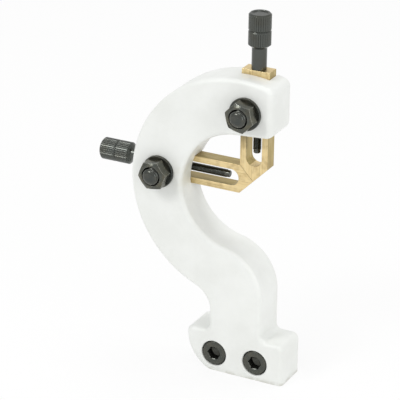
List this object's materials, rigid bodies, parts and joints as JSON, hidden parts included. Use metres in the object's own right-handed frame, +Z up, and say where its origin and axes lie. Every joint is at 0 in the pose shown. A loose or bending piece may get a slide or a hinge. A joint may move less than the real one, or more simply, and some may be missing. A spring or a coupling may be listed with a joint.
{
  "type": "lathe follow rest",
  "caption": "Curved cast arm on a bolted foot that carries slotted brass fingers with knurled adjusting screws and lock nuts, to steady turned work.",
  "frame": {"origin": "midway between the two mounting screws, on the back face of the foot, which seats on the lathe carriage", "axes": "+X to the right as seen from the nut side, +Y out of the back face into the carriage, +Z up along the column"},
  "size_m": [0.1051, 0.0437, 0.1823],
  "materials": {
    "white_enamel": "white enamel paint over cast iron, satin",
    "brass": "milled and lightly tarnished",
    "black_oxide_steel": "black oxide, oiled",
    "spring_steel": "phosphated spring steel"
  },
  "bodies": {
    "frame": {"casting": "white_enamel", "upper_lock_bolt": "black_oxide_steel", "side_lock_bolt": "black_oxide_steel", "left_cap_screw": "black_oxide_steel", "right_cap_screw": "black_oxide_steel"},
    "upper_finger": {"upper_finger": "brass"},
    "upper_screw": {"upper_adjusting_screw": "black_oxide_steel", "upper_retaining_ring": "spring_steel"},
    "upper_washer": {"upper_washer": "black_oxide_steel"},
    "upper_nut": {"upper_lock_nut": "black_oxide_steel"},
    "side_finger": {"side_finger": "brass"},
    "side_screw": {"side_adjusting_screw": "black_oxide_steel", "side_retaining_ring": "spring_steel"},
    "side_washer": {"side_washer": "black_oxide_steel"},
    "side_nut": {"side_lock_nut": "black_oxide_steel"}
  },
  "joints": [
    {"name": "upper_finger_slide", "type": "slide", "parent": "frame", "child": "upper_finger", "axis": [0, 0, 1], "range_m": [0, 0.019]},
    {"name": "upper_screw_turn", "type": "hinge", "parent": "upper_finger", "child": "upper_screw", "pos_m": [0.00365, -0.00615, 0.146], "axis": [0, 0, 1], "range_deg": [0, 9771.43]},
    {"name": "upper_washer_slide", "type": "slide", "parent": "frame", "child": "upper_washer", "axis": [0, -1, 0], "range_m": [0, 0.0025]},
    {"name": "upper_nut_turn", "type": "hinge", "parent": "upper_washer", "child": "upper_nut", "pos_m": [0.00365, -0.0211, 0.12805], "axis": [0, -1, 0], "range_deg": [0, 720]},
    {"name": "side_finger_slide", "type": "slide", "parent": "frame", "child": "side_finger", "axis": [-1, 0, 0], "range_m": [0, 0.027]},
    {"name": "side_screw_turn", "type": "hinge", "parent": "side_finger", "child": "side_screw", "pos_m": [-0.052, -0.00615, 0.09035], "axis": [-1, 0, 0], "range_deg": [0, 13885.71]},
    {"name": "side_washer_slide", "type": "slide", "parent": "frame", "child": "side_washer", "axis": [0, -1, 0], "range_m": [0, 0.0025]},
    {"name": "side_nut_turn", "type": "hinge", "parent": "side_washer", "child": "side_nut", "pos_m": [-0.0417, -0.0211, 0.09035], "axis": [0, -1, 0], "range_deg": [0, 720]}
  ],
  "couplings": [
    {"joint": "upper_screw_turn", "follows": "upper_finger_slide", "rad_per_m": 8976},
    {"joint": "upper_nut_turn", "follows": "upper_washer_slide", "rad_per_m": 5026.5},
    {"joint": "side_screw_turn", "follows": "side_finger_slide", "rad_per_m": 8976},
    {"joint": "side_nut_turn", "follows": "side_washer_slide", "rad_per_m": 5026.5}
  ]
}
